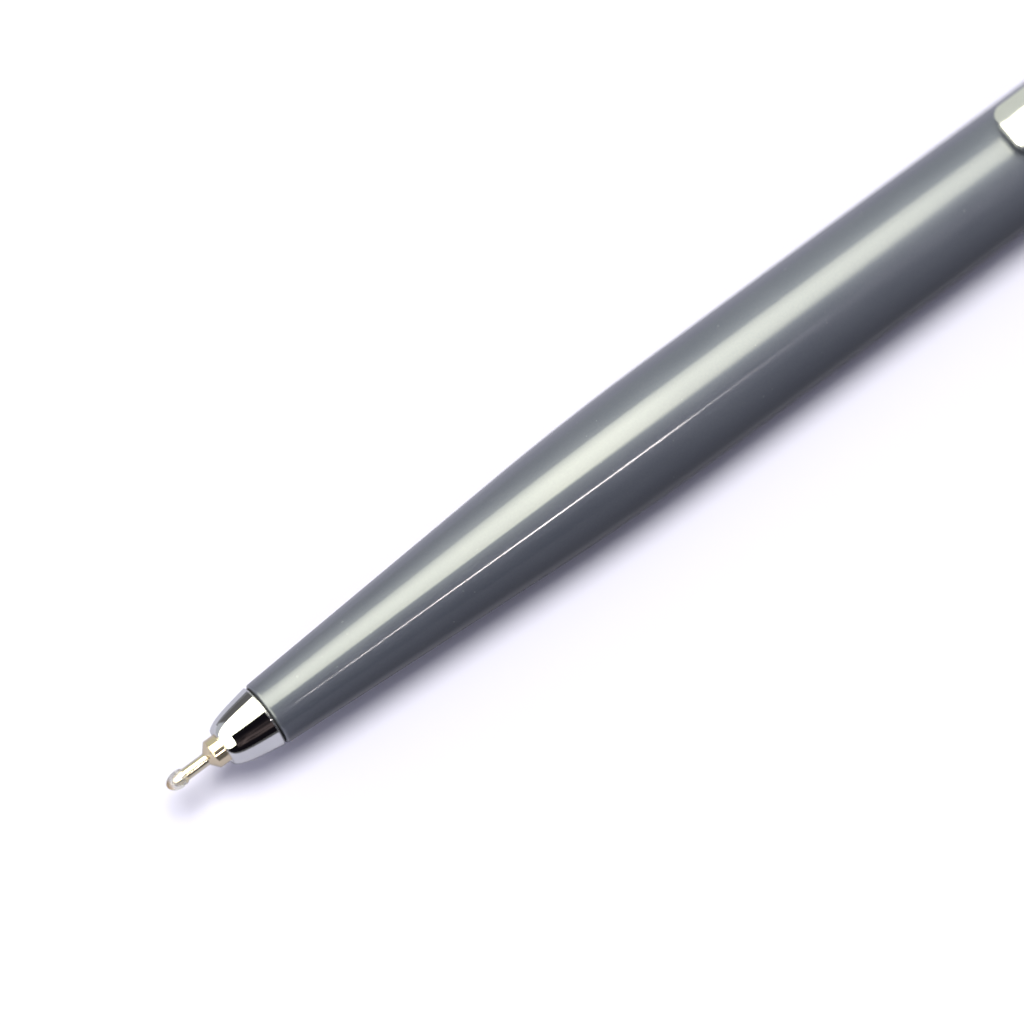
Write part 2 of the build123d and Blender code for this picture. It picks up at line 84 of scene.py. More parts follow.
# ------------------------------------------------------------------ node helpers
class Graph:
    """Small helper that adds shader nodes and links them."""

    def __init__(self, tree):
        self.tree = tree
        self.nodes = tree.nodes
        self.links = tree.links
        self.x = -2200

    def add(self, kind, **props):
        n = self.nodes.new(kind)
        self.x += 60
        n.location = (self.x, (len(self.nodes) % 9) * -160)
        for k, v in props.items():
            setattr(n, k, v)
        return n

    def put(self, socket, value):
        if hasattr(value, "is_output"):
            self.links.new(value, socket)
        else:
            socket.default_value = value

    def math(self, op, a, b=0.0, c=0.0, clamp=False):
        n = self.add("ShaderNodeMath", operation=op, use_clamp=clamp)
        self.put(n.inputs[0], a)
        self.put(n.inputs[1], b)
        self.put(n.inputs[2], c)
        return n.outputs[0]

    def smooth(self, value, low, high, out0=0.0, out1=1.0):
        n = self.add("ShaderNodeMapRange", interpolation_type="SMOOTHSTEP")
        self.put(n.inputs["Value"], value)
        self.put(n.inputs["From Min"], low)
        self.put(n.inputs["From Max"], high)
        self.put(n.inputs["To Min"], out0)
        self.put(n.inputs["To Max"], out1)
        return n.outputs["Result"]

    def ramp(self, value, low, high, out0, out1):
        n = self.add("ShaderNodeMapRange", interpolation_type="LINEAR", clamp=True)
        self.put(n.inputs["Value"], value)
        n.inputs["From Min"].default_value = low
        n.inputs["From Max"].default_value = high
        self.put(n.inputs["To Min"], out0)
        self.put(n.inputs["To Max"], out1)
        return n.outputs["Result"]

    def mix(self, factor, a, b):
        n = self.add("ShaderNodeMix", data_type="RGBA")
        self.put(n.inputs["Factor"], factor)
        self.put(n.inputs[6], a)
        self.put(n.inputs[7], b)
        return n.outputs[2]

    def scale(self, color, factor):
        n = self.add("ShaderNodeVectorMath", operation="SCALE")
        self.put(n.inputs[0], color)
        self.put(n.inputs["Scale"], factor)
        return n.outputs[0]

    def plus(self, a, b):
        n = self.add("ShaderNodeVectorMath", operation="ADD")
        self.put(n.inputs[0], a)
        self.put(n.inputs[1], b)
        return n.outputs[0]

    def noise(self, vector, scale, detail=3.0, rough=0.5, distortion=0.0):
        n = self.add("ShaderNodeTexNoise")
        self.put(n.inputs["Vector"], vector)
        n.inputs["Scale"].default_value = scale
        n.inputs["Detail"].default_value = detail
        n.inputs["Roughness"].default_value = rough
        n.inputs["Distortion"].default_value = distortion
        return n.outputs["Fac"]

    def stretch(self, vector, factors):
        n = self.add("ShaderNodeVectorMath", operation="MULTIPLY")
        self.put(n.inputs[0], vector)
        n.inputs[1].default_value = factors
        return n.outputs[0]


def rgb(r, g, b):
    return (r, g, b, 1.0)


def new_material(name):
    m = bpy.data.materials.new(name)
    m.use_nodes = True
    m.node_tree.nodes.clear()
    g = Graph(m.node_tree)
    out = g.add("ShaderNodeOutputMaterial")
    bsdf = g.add("ShaderNodeBsdfPrincipled")
    g.links.new(bsdf.outputs[0], out.inputs["Surface"])
    where = g.add("ShaderNodeTexCoord").outputs["Object"]
    return m, g, bsdf, where


def bump(g, bsdf, height, strength, distance=0.00002, coat=False):
    n = g.add("ShaderNodeBump")
    n.inputs["Strength"].default_value = strength
    n.inputs["Distance"].default_value = distance
    g.put(n.inputs["Height"], height)
    g.links.new(n.outputs[0], bsdf.inputs["Normal"])
    if coat:
        g.links.new(n.outputs[0], bsdf.inputs["Coat Normal"])
    return n


# ------------------------------------------------------------------ materials
def lacquer():
    """Grey metallic lacquer under a clear coat: slight cloudiness, orange peel, hairlines, a few specks."""
    m, g, bsdf, where = new_material("lacquer_grey")
    cloud = g.noise(g.stretch(where, (0.35, 1, 1)), 220, 4, 0.55)
    fine = g.noise(where, 5200, 2, 0.6)
    base = g.mix(
        g.ramp(cloud, 0.35, 0.65, 0.0, 1.0),
        rgb(0.112, 0.126, 0.163),
        rgb(0.123, 0.137, 0.175),
    )
    base = g.mix(g.ramp(fine, 0.3, 0.7, 0.0, 0.18), base, rgb(0.19, 0.20, 0.22))
    speck = g.smooth(g.noise(where, 2600, 1, 0.4), 0.79, 0.83)
    base = g.mix(g.math("MULTIPLY", speck, 0.5), base, rgb(0.34, 0.35, 0.37))
    g.put(bsdf.inputs["Base Color"], base)
    bsdf.inputs["Metallic"].default_value = 0.45
    bsdf.inputs["IOR"].default_value = 1.50
    g.put(bsdf.inputs["Roughness"], g.ramp(cloud, 0.3, 0.7, 0.37, 0.43))
    bsdf.inputs["Specular IOR Level"].default_value = 0.5
    bsdf.inputs["Coat Weight"].default_value = 1.0
    bsdf.inputs["Coat IOR"].default_value = 1.60
    hair = g.noise(g.stretch(where, (0.02, 1, 1)), 9000, 2, 0.5)
    g.put(
        bsdf.inputs["Coat Roughness"],
        g.math(
            "ADD",
            g.ramp(cloud, 0.3, 0.7, 0.035, 0.055),
            g.ramp(hair, 0.55, 0.8, 0.0, 0.04),
        ),
    )
    peel = g.noise(g.stretch(where, (0.6, 1, 1)), 650, 2, 0.5)
    height = g.math("ADD", g.math("MULTIPLY", peel, 1.0), g.math("MULTIPLY", hair, 0.10))
    bump(g, bsdf, height, 0.09, 0.000004, coat=True)
    return m


def metal(name, tint_a, tint_b, rough_a, rough_b, grain=(1, 1, 1), bump_strength=0.25, dirt=0.0):
    """Plated or turned metal: tint and roughness vary, with fine marks along the grain."""
    m, g, bsdf, where = new_material(name)
    cloud = g.noise(where, 350, 4, 0.6)
    lines = g.noise(g.stretch(where, grain), 6000, 3, 0.6)
    base = g.mix(g.ramp(cloud, 0.35, 0.65, 0.0, 1.0), rgb(*tint_a), rgb(*tint_b))
    if dirt:
        spots = g.smooth(g.noise(where, 1500, 4, 0.7), 0.60, 0.74)
        base = g.mix(
            g.math("MULTIPLY", spots, dirt),
            base,
            rgb(*(0.35 * c for c in tint_a)),
        )
    g.put(bsdf.inputs["Base Color"], base)
    bsdf.inputs["Metallic"].default_value = 1.0
    g.put(
        bsdf.inputs["Roughness"],
        g.math(
            "ADD",
            g.ramp(cloud, 0.3, 0.7, rough_a, rough_b),
            g.ramp(lines, 0.5, 0.8, 0.0, 0.5 * rough_b),
        ),
    )
    bump(g, bsdf, lines, bump_strength, 0.000002)
    return m


def plastic(name, tint_a, tint_b, rough, through=0.0, speckle=1800):
    m, g, bsdf, where = new_material(name)
    cloud = g.noise(where, 420, 4, 0.6)
    fine = g.noise(where, speckle, 3, 0.6)
    g.put(
        bsdf.inputs["Base Color"],
        g.mix(g.ramp(cloud, 0.35, 0.65, 0.0, 1.0), rgb(*tint_a), rgb(*tint_b)),
    )
    g.put(bsdf.inputs["Roughness"], g.ramp(fine, 0.3, 0.7, rough * 0.8, rough * 1.25))
    bsdf.inputs["Transmission Weight"].default_value = through
    bsdf.inputs["Subsurface Weight"].default_value = 0.1 if not through else 0.0
    bsdf.inputs["Subsurface Radius"].default_value = (0.0006, 0.0005, 0.0004)
    bump(g, bsdf, fine, 0.3, 0.000006)
    return m


def clear_seal():
    """Clear soft seal: bends light a little, with faint waves and a warm core."""
    m, g, bsdf, where = new_material("clear_seal")
    wave = g.noise(where, 1500, 2, 0.5, 0.4)
    sep = g.add("ShaderNodeSeparateXYZ")
    g.links.new(where, sep.inputs[0])
    front = g.math("ADD", sep.outputs[0], g.math("MULTIPLY", wave, 0.0002))
    amber = g.smooth(front, at(0.30) * MM, at(0.62) * MM, 0.85, 0.0)
    clean = g.mix(g.ramp(wave, 0.3, 0.7, 0.0, 1.0), rgb(0.93, 0.92, 0.90), rgb(0.98, 0.98, 0.97))
    g.put(bsdf.inputs["Base Color"], g.mix(amber, clean, rgb(0.62, 0.36, 0.14)))
    bsdf.inputs["Transmission Weight"].default_value = 0.88
    bsdf.inputs["IOR"].default_value = 1.30
    g.put(bsdf.inputs["Roughness"], g.ramp(wave, 0.3, 0.7, 0.10, 0.20))
    bump(g, bsdf, wave, 0.5, 0.00003)
    return m


def nose_chrome():
    """Polished chrome; the narrow groove behind the cone is rougher and painted nearly black, a painted shade in
    the recess.
    """
    m = metal("chrome_nose", (0.86, 0.87, 0.89), (0.80, 0.81, 0.83), 0.03, 0.05, (1, 0.05, 0.05), 0.15)
    bsdf = next(n for n in m.node_tree.nodes if n.type == "BSDF_PRINCIPLED")
    g = Graph(m.node_tree)
    where = g.add("ShaderNodeTexCoord").outputs["Object"]
    sep = g.add("ShaderNodeSeparateXYZ")
    g.links.new(where, sep.inputs[0])
    radius = g.math(
        "SQRT",
        g.math(
            "ADD",
            g.math("MULTIPLY", sep.outputs[1], sep.outputs[1]),
            g.math("MULTIPLY", sep.outputs[2], sep.outputs[2]),
        ),
    )
    groove = g.math(
        "MULTIPLY",
        g.smooth(sep.outputs[0], at(9.87) * MM, at(9.895) * MM),
        g.smooth(radius, 2.74 * MM, 2.81 * MM, 1.0, 0.0),
    )
    # painted shade: in the groove the colour is pushed to near black, with slight variation, and the roughness
    # is raised
    painted_groove_shade = g.math("MULTIPLY", groove, g.ramp(g.noise(where, 900, 3, 0.6), 0.3, 0.7, 0.93, 1.0))
    for socket, painted_shade_and_rough in (("Base Color", rgb(0.012, 0.012, 0.014)), ("Roughness", 0.7)):
        link = bsdf.inputs[socket].links[0]
        clean = link.from_socket
        if socket == "Base Color":
            g.put(bsdf.inputs[socket], g.mix(painted_groove_shade, clean, painted_shade_and_rough))
        else:
            g.put(bsdf.inputs[socket], g.math("ADD", clean, g.math("MULTIPLY", painted_groove_shade, painted_shade_and_rough)))
    return m


MATS = {
    "lacquer_grey": lacquer(),
    "chrome_polished": metal(
        "chrome_polished", (0.86, 0.87, 0.89), (0.80, 0.81, 0.83), 0.035, 0.06, (1, 0.05, 0.05), 0.15
    ),
    "chrome_clip": metal(
        "chrome_clip", (0.87, 0.86, 0.84), (0.80, 0.79, 0.77), 0.07, 0.12, (0.03, 1, 1), 0.25
    ),
    "brass_point": metal(
        "brass_point", (0.88, 0.76, 0.55), (0.80, 0.68, 0.47), 0.045, 0.08, (1, 0.05, 0.05), 0.3, 0.15
    ),
    "brass_turned": metal(
        "brass_turned", (0.76, 0.58, 0.28), (0.66, 0.49, 0.22), 0.22, 0.34, (1, 0.05, 0.05), 0.6, 0.3
    ),
    "steel_needle": metal(
        "steel_needle", (0.86, 0.79, 0.62), (0.78, 0.71, 0.54), 0.06, 0.11, (0.03, 1, 1), 0.3, 0.1
    ),
    "carbide": metal("carbide", (0.50, 0.49, 0.48), (0.40, 0.39, 0.38), 0.12, 0.2),
    "clear_seal": clear_seal(),
    "refill_plastic": plastic("refill_plastic", (0.80, 0.82, 0.81), (0.72, 0.75, 0.74), 0.22, 0.35),
    "guide_plastic": plastic("guide_plastic", (0.82, 0.80, 0.75), (0.74, 0.72, 0.67), 0.45),
    "ink": plastic("ink", (0.010, 0.010, 0.016), (0.022, 0.020, 0.030), 0.12),
    "grease": plastic("grease", (0.80, 0.72, 0.48), (0.70, 0.62, 0.40), 0.2, 0.3),
    "spring_steel": metal(
        "spring_steel", (0.62, 0.62, 0.63), (0.50, 0.50, 0.51), 0.16, 0.28, (0.05, 1, 1), 0.4, 0.15
    ),
}
SLOT_OF = {s["node"]: s["material_slot"] for s in frame["record"]["subparts"]}


def dress(obj, slot):
    obj.data.materials.clear()
    obj.data.materials.append(MATS[slot])


for name, obj in nodes.items():
    dress(obj, SLOT_OF[name])
    obj.data.shade_smooth()
    obj.data.set_sharp_from_angle(angle=math.radians(28))


# ------------------------------------------------------------------ turned pieces, finely meshed
def corner_arcs(points, rounds, steps=6):
    """Replaces the listed corners of a closed profile by small arcs. rounds: index to tangent length in mm."""
    out = []
    n = len(points)
    for i, p in enumerate(points):
        if i not in rounds:
            out.append(tuple(p))
            continue
        a, b, c = np.array(points[i - 1]), np.array(p), np.array(points[(i + 1) % n])
        u, v = a - b, c - b
        t = min(rounds[i], 0.45 * np.linalg.norm(u), 0.45 * np.linalg.norm(v))
        u, v = u / np.linalg.norm(u), v / np.linalg.norm(v)
        start, end = b + u * t, b + v * t
        half = math.acos(max(-1, min(1, float(u @ v)))) / 2
        bis = (u + v) / np.linalg.norm(u + v)
        centre = b + bis * (t / math.cos(half))
        r = t * math.tan(half)
        s0, s1 = start - centre, end - centre
        ang = math.acos(max(-1, min(1, float(s0 @ s1) / r**2)))
        for k in range(steps + 1):
            f = k / steps
            w0, w1 = math.sin((1 - f) * ang) / math.sin(ang), math.sin(f * ang) / math.sin(ang)
            q = centre + s0 * w0 + s1 * w1
            out.append((float(q[0]), float(q[1])))
    return out


def refine(points, step):
    """Splits long profile lines so that the quads stay short along the pen."""
    out = []
    n = len(points)
    for i, p in enumerate(points):
        q = points[(i + 1) % n]
        out.append(p)
        length = math.hypot(q[0] - p[0], q[1] - p[1])
        for k in range(1, max(1, math.ceil(length / step))):
            f = k / math.ceil(length / step)
            out.append((p[0] + (q[0] - p[0]) * f, p[1] + (q[1] - p[1]) * f))
    return out


def lathe(name, profile, body, slot, replaces, around=160, step=4.0, sharp=40):
    """Turns a closed profile of (x, r) points in mm, in row-frame x, about the X axis."""
    profile = refine(profile, step)
    verts, rings = [], []
    for x, r in profile:
        if r < 1e-7:
            rings.append([len(verts)])
            verts.append((x * MM, 0.0, 0.0))
        else:
            rings.append(list(range(len(verts), len(verts) + around)))
            for k in range(around):
                a = 2 * math.pi * k / around
                verts.append((x * MM, r * MM * math.cos(a), r * MM * math.sin(a)))
    faces = []
    n = len(profile)
    for i in range(n):
        a, b = rings[i], rings[(i + 1) % n]
        if len(a) == 1 and len(b) == 1:
            continue
        for k in range(around):
            k2 = (k + 1) % around
            if len(a) == 1:
                faces.append((a[0], b[k2], b[k]))
            elif len(b) == 1:
                faces.append((a[k], a[k2], b[0]))
            else:
                faces.append((a[k], a[k2], b[k2], b[k]))
    mesh = bpy.data.meshes.new(name)
    mesh.from_pydata(verts, [], faces)
    mesh.validate()
    obj = bpy.data.objects.new(name, mesh)
    scene.collection.objects.link(obj)
    # outward normals: compare the signed volume
    mesh.calc_loop_triangles()
    co = np.array([v.co for v in mesh.vertices])
    tri = np.array([t.vertices[:] for t in mesh.loop_triangles])
    vol = np.einsum("ij,ij->i", co[tri[:, 0]], np.cross(co[tri[:, 1]], co[tri[:, 2]])).sum()
    if vol < 0:
        mesh.flip_normals()
    mesh.shade_smooth()
    mesh.set_sharp_from_angle(angle=math.radians(sharp))
    dress(obj, slot)
    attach(obj, body)
    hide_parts(*replaces)
    return obj


def bezier_profile(points, n=24):
    """Catmull-Rom samples through profile points."""
    pts = [np.array(p, float) for p in points]
    pts = [2 * pts[0] - pts[1]] + pts + [2 * pts[-1] - pts[-2]]
    out = []
    for i in range(1, len(pts) - 2):
        p0, p1, p2, p3 = pts[i - 1 : i + 3]
        for k in range(n):
            t = k / n
            q = 0.5 * (
                2 * p1
                + (p2 - p0) * t
                + (2 * p0 - 5 * p1 + 4 * p2 - p3) * t * t
                + (3 * p1 - p0 - 3 * p2 + p3) * t**3
            )
            out.append((float(q[0]), float(q[1])))
    out.append(tuple(float(v) for v in pts[-2]))
    return out


AROUND = 192


def cubic(p0, p1, p2, p3, n=20):
    """Points of a cubic curve, last point left out."""
    out = []
    for k in range(n):
        t = k / n
        w = ((1 - t) ** 3, 3 * t * (1 - t) ** 2, 3 * t * t * (1 - t), t**3)
        out.append(tuple(sum(wi * q[i] for wi, q in zip(w, (p0, p1, p2, p3))) for i in (0, 1)))
    return out


def place(points):
    return [(at(x), r) for x, r in points]


# barrel: the lip's rounding, the long taper, the long blend, the straight part
barrel_points = place([
    (10.08, 2.30),
    (10.08, 2.884),
    (44.94, 5.0),
    (78.22, 5.0),
    (122.0, 4.90),
    (122.0, 4.40),
    (45.6, 4.40),
    (12.6, 2.45),
    (12.6, 2.30),
])
lathe(
    "barrel_tube",
    corner_arcs(barrel_points, {1: 0.25, 2: 8.35, 4: 0.12}, 16),
    "pen_body",
    "lacquer_grey",
    ["barrel"],
    around=AROUND,
    step=2.0,
)

# nose cone, with its thread
nose = place(
    cubic((5.57, 1.62), (5.57, 1.67), (5.60, 1.71), (5.63, 1.735), 5)
    + cubic((5.63, 1.735), (6.204, 2.221), (7.347, 2.431), (9.765, 2.823), 40)
    + cubic((9.765, 2.823), (9.85, 2.837), (9.90, 2.82), (9.90, 2.75), 16)
    + [(9.90, 2.75), (9.90, 2.66), (10.08, 2.66), (10.08, 2.28), (12.5, 2.28), (12.65, 2.03)]
)
thread = 12.75
while thread + 0.5 <= 16.8 + 1e-6:
    nose += place([(thread, 2.03), (thread + 0.17, 2.17), (thread + 0.28, 2.17), (thread + 0.45, 2.03)])
    thread += 0.5
nose += place([
    (17.0, 2.03), (17.0, 1.82), (16.9, 1.72), (8.0, 1.72), (8.0, 1.335), (5.70, 1.335), (5.57, 1.47),
])
shell = lathe("nose_shell", nose, "nose", "chrome_polished", ["nose_cone"], around=AROUND, step=1.0, sharp=32)
shell.data.materials.clear()
shell.data.materials.append(nose_chrome())

# the point: needle, its socket, the bead and the ball's cup
needle = place([
    (0.75, 0.10), (0.75, 0.29), (0.91, 0.35), (1.37, 0.545), (6.5, 0.545), (6.5, 0.20), (2.2, 0.20), (1.9, 0.10),
])
lathe(
    "needle",
    corner_arcs(needle, {1: 0.03, 2: 0.05, 3: 0.12}, 6),
    "refill",
    "steel_needle",
    ["needle_tube"],
    around=AROUND // 2,
    step=0.4,
    sharp=32,
)
socket = [
    (3.96, 0.555), (3.96, 0.575), (4.53, 1.255), (4.58, 1.285), (17.9, 1.285), (17.9, 1.57), (17.95, 1.62),
    (18.7, 1.62), (18.7, 0.92), (19.6, 0.92), (19.7, 1.0), (20.5, 0.92), (20.6, 1.0), (21.5, 0.92),
    (21.6, 1.0), (23.0, 0.86), (23.0, 0.35), (6.5, 0.35), (6.5, 0.555),
]
lathe(
    "point_socket",
    corner_arcs(place(socket), {1: 0.01, 2: 0.02}, 4),
    "refill",
    "brass_point",
    ["refill_tip_socket"],
    around=AROUND // 2,
    step=0.6,
    sharp=25,
)
bead = place(
    cubic((0.0, 0.0), (0.0, 0.38), (0.53, 0.76), (1.15, 0.76), 18)
    + cubic((1.15, 0.76), (1.49, 0.76), (1.74, 0.69), (1.80, 0.545), 12)
    + [(1.80, 0.545), (1.37, 0.545), (0.91, 0.35), (0.75, 0.29)]
    + [
        (0.86 + 0.27 * math.cos(a), 0.27 * math.sin(a))
        for a in np.radians(np.linspace(114.0, 180.0, 9))[:-1]
    ]
    + [(0.59, 0.0)]
)
lathe("seal_bead", bead, "refill", "clear_seal", ["tip_seal_bead"], around=AROUND // 2, step=0.3, sharp=50)

# the return spring: the same coil, meshed
def coil(name, x0, length, pitch, mean_r, wire_r, slot, replaces, per_turn=36, around=14):
    count = int(round(length / pitch * per_turn))
    turn = 2 * math.pi / pitch
    verts = []
    for i in range(count + 1):
        x = length * i / count
        a = x * turn
        centre = Vector((x0 + x, -mean_r * math.sin(a), mean_r * math.cos(a)))
        along = Vector((1.0 / turn, -mean_r * math.cos(a), -mean_r * math.sin(a))).normalized()
        out = Vector((0.0, -math.sin(a), math.cos(a)))
        over = along.cross(out)
        for k in range(around):
            b = 2 * math.pi * k / around
            verts.append((centre + out * (wire_r * math.cos(b)) + over * (wire_r * math.sin(b))) * MM)
    faces = []
    for i in range(count):
        for k in range(around):
            k2 = (k + 1) % around
            p, q = i * around, (i + 1) * around
            faces.append((p + k, p + k2, q + k2, q + k))
    faces.append(tuple(reversed(range(around))))
    faces.append(tuple(range(count * around, (count + 1) * around)))
    mesh = bpy.data.meshes.new(name)
    mesh.from_pydata([tuple(v) for v in verts], [], faces)
    mesh.validate()
    mesh.calc_loop_triangles()
    co = np.array([v.co for v in mesh.vertices])
    tri = np.array([t.vertices[:] for t in mesh.loop_triangles])
    if np.einsum("ij,ij->i", co[tri[:, 0]], np.cross(co[tri[:, 1]], co[tri[:, 2]])).sum() < 0:
        mesh.flip_normals()
    mesh.shade_smooth()
    mesh.set_sharp_from_angle(angle=math.radians(50))
    obj = bpy.data.objects.new(name, mesh)
    scene.collection.objects.link(obj)
    dress(obj, slot)
    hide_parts(*replaces)
    return obj


spring = coil("spring_coil", at(8.155), 9.59, 0.78, 1.50, 0.125, "spring_steel", ["return_spring"])
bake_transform(spring)

# button and tail
button = place(
    [(124.0, 2.21), (124.0, 2.90), (124.1, 3.00), (135.9, 3.00)]
    + cubic((135.9, 3.00), (136.25, 3.00), (136.55, 2.80), (136.65, 2.50), 14)
    + cubic((136.65, 2.50), (136.88, 1.70), (137.0, 0.85), (137.0, 0.0), 14)
    + [(137.0, 0.0), (135.0, 0.0), (135.0, 2.21)]
)
sleeve = place(
    bezier_profile([(125.50, 4.95), (126.75, 4.932), (127.86, 4.883), (128.76, 4.814), (129.49, 4.732)], 5)
    + bezier_profile([(129.90, 4.668), (130.20, 4.612), (130.40, 4.52), (130.53, 4.389), (130.60, 4.195)], 4)
    + [(130.60, 3.21), (130.45, 3.06), (129.0, 3.06), (129.0, 4.0), (125.4, 4.0), (125.4, 4.85)]
)
lathe("tail_cap", sleeve, "pen_body", "chrome_polished", ["tail_sleeve"], around=AROUND, step=0.6, sharp=32)
lathe("button_cap", button, "button", "chrome_polished", ["push_button"], around=AROUND, step=1.0, sharp=32)


# ------------------------------------------------------------------ surroundings
PANEL = 8.4           # the soft panel's brightness
# painted shade: the paper's colour is scaled by this for every ray except camera rays
FLOOR_FOR_PEN = 0.54  # the paper is overexposed in the picture, not in what the pen reflects


def floor():
    mesh = bpy.data.meshes.new("table_top")
    s, n = 3.0, 1
    z = -0.00518
    mesh.from_pydata([(-s, -s, z), (s, -s, z), (s, s, z), (-s, s, z)], [], [(0, 1, 2, 3)])
    obj = bpy.data.objects.new("table_top", mesh)
    scene.collection.objects.link(obj)
    m, g, bsdf, where = new_material("table_paper")
    cloud = g.noise(where, 8, 3, 0.5)
    paper = g.mix(g.ramp(cloud, 0.3, 0.7, 0.0, 1.0), rgb(0.80, 0.79, 0.87), rgb(0.81, 0.80, 0.88))
    seen = g.add("ShaderNodeLightPath").outputs["Is Camera Ray"]
    place_y = g.add("ShaderNodeSeparateXYZ")
    g.links.new(where, place_y.inputs[0])
    # painted shade: for all but camera rays the paper is darkened by FLOOR_FOR_PEN, more on the near side along
    # the pen and, beside the point and nose, far out on the far side too, so the pen reflects and receives a
    # shaded floor
    under_nose = g.smooth(place_y.outputs[0], at(9.5) * MM, at(11.0) * MM, 1.0, 0.0)
    near_front = g.smooth(place_y.outputs[1], -0.060, -0.036, 0.10, 1.0)
    near_back = g.smooth(place_y.outputs[1], -0.010, 0.002, 0.26, 1.0)
    far_front = g.smooth(place_y.outputs[1], 0.028, 0.045)
    lean = g.math("ADD", place_y.outputs[0], g.math("MULTIPLY", place_y.outputs[1], 0.36))
    far_front = g.math("MULTIPLY", far_front, g.smooth(lean, at(7.5) * MM, at(9.5) * MM))
    far_front = g.ramp(far_front, 0.0, 1.0, 1.0, 0.24)
    painted_floor_shade = g.ramp(under_nose, 0.0, 1.0, near_back, g.math("MULTIPLY", near_front, far_front))
    painted_floor_shade = g.math("MULTIPLY", painted_floor_shade, FLOOR_FOR_PEN)
    g.put(bsdf.inputs["Base Color"], g.mix(seen, g.scale(paper, painted_floor_shade), paper))
    bsdf.inputs["Roughness"].default_value = 0.9
    bsdf.inputs["Specular IOR Level"].default_value = 0.1
    fibre = g.noise(where, 900, 3, 0.6)
    bump(g, bsdf, fibre, 0.05, 0.00002)
    mesh.materials.append(m)
    obj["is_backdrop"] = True
    return obj


floor()

# The room as light, as a function of direction only. alpha is the angle from the zenith towards the far
# side, dx the part along the pen. One large soft panel hangs over the far side; under it is a dim wall; the
# near side is a dark room with one thin bright tube.
world = bpy.data.worlds.new("studio")
scene.world = world
world.use_nodes = True
world.node_tree.nodes.clear()
g = Graph(world.node_tree)
w_out = g.add("ShaderNodeOutputWorld")
direction = g.add("ShaderNodeTexCoord").outputs["Generated"]
sep = g.add("ShaderNodeSeparateXYZ")
g.links.new(direction, sep.inputs[0])
dx, dy, dz = sep.outputs
alpha = g.math("MULTIPLY", g.math("ARCTAN2", dy, dz), 180 / math.pi)
# far side: the panel, and the dim wall under it
top_edge = g.ramp(dx, -0.06, 0.0, 58.5, g.ramp(dx, 0.0, 0.19, 41.0, 36.0))
past_top = g.smooth(g.math("SUBTRACT", alpha, top_edge), -2.5, 2.5)
below_top = g.math("SUBTRACT", 1.0, past_top)
low_side = g.ramp(dx, -0.48, 0.02, -3.5, g.ramp(dx, 0.185, 0.21, -12.0, -4.0))
low_front = g.ramp(dx, -0.94, -0.51, -63.0, -50.0)
low_edge = g.ramp(dx, -0.505, -0.495, low_front, low_side)
soft = g.ramp(dx, 0.03, 0.17, 1.8, 5.0)
above_low = g.smooth(g.math("SUBTRACT", alpha, low_edge), g.math("MULTIPLY", soft, -1.0), soft)
hot = g.math(
    "MULTIPLY",
    g.smooth(alpha, 14.0, 57.0, 1.0, g.smooth(dx, -0.05, 0.0, 0.85, 0.12)),
    g.ramp(alpha, -10.0, 20.0, g.ramp(dx, 0.03, 0.16, 1.0, 0.80), 1.0),
)
reach = g.math(
    "MULTIPLY",
    g.smooth(dx, 0.115, 0.31, 1.0, 0.12),
    g.smooth(dx, -1.0, -0.85, 0.25, 1.0),
)
rise = g.smooth(dx, 0.0, 0.065, 0.60, 1.0)
panel = g.math(
    "MULTIPLY",
    g.math("MULTIPLY", above_low, below_top),
    g.math("MULTIPLY", g.math("MULTIPLY", hot, rise), reach),
)
# the thin tube
tube = g.math(
    "MULTIPLY",
    g.math("MULTIPLY", g.smooth(alpha, -47.8, -46.8), g.smooth(alpha, -45.6, -44.6, 1.0, 0.0)),
    g.math(
        "MULTIPLY",
        g.math("MULTIPLY", g.smooth(dx, 0.024, 0.032), g.ramp(dx, 0.035, 0.065, 1.8, 1.0)),
        g.smooth(dx, 0.152, 0.172, 1.0, 0.0),
    ),
)
wall = g.math("MULTIPLY", past_top, g.smooth(alpha, 112.0, 120.0, 1.0, 0.0))
wall_tint = g.mix(g.smooth(dx, -0.30, -0.24), rgb(0.45, 0.46, 0.48), rgb(0.120, 0.117, 0.113))
wall_tint = g.mix(g.smooth(dx, -0.02, 0.06), wall_tint, rgb(0.42, 0.42, 0.38))
wall_tint = g.mix(g.smooth(dx, 0.06, 0.18), wall_tint, rgb(0.66, 0.70, 0.64))
# near side: dark, with a little brown furniture
near = g.math("MULTIPLY", g.smooth(dx, -0.50, -0.47), g.smooth(dx, -0.06, 0.02, 1.0, 0.0))
shapes = g.noise(g.stretch(direction, (3.0, 9.0, 9.0)), 1.6, 3, 0.6)
band = g.math(
    "MULTIPLY",
    near,
    g.math(
        "MULTIPLY",
        g.math("MULTIPLY", g.smooth(alpha, -71.0, -65.0), g.ramp(alpha, -60.0, -30.0, 1.0, 0.0)),
        g.ramp(shapes, 0.42, 0.62, 0.15, 1.0),
    ),
)
behind = g.math(
    "MULTIPLY",
    g.smooth(dx, 0.23, 0.32),
    g.math("MULTIPLY", g.smooth(alpha, -34.0, -26.0), g.smooth(alpha, 50.0, 60.0, 1.0, 0.0)),
)
total = g.scale((1.0, 0.99, 0.76), g.math("MULTIPLY", panel, PANEL))
total = g.plus(total, g.scale((1.0, 0.92, 0.90), g.math("MULTIPLY", tube, 25.0)))
total = g.plus(total, g.scale(wall_tint, wall))
glow = g.math(
    "MULTIPLY",
    g.smooth(dx, 0.06, 0.18),
    g.math("MULTIPLY", g.ramp(alpha, -36.0, -14.0, 0.24, 0.60), below_top),
)
total = g.plus(total, g.scale((1.0, 1.0, 1.05), glow))
total = g.plus(total, g.scale((0.125, 0.095, 0.088), band))
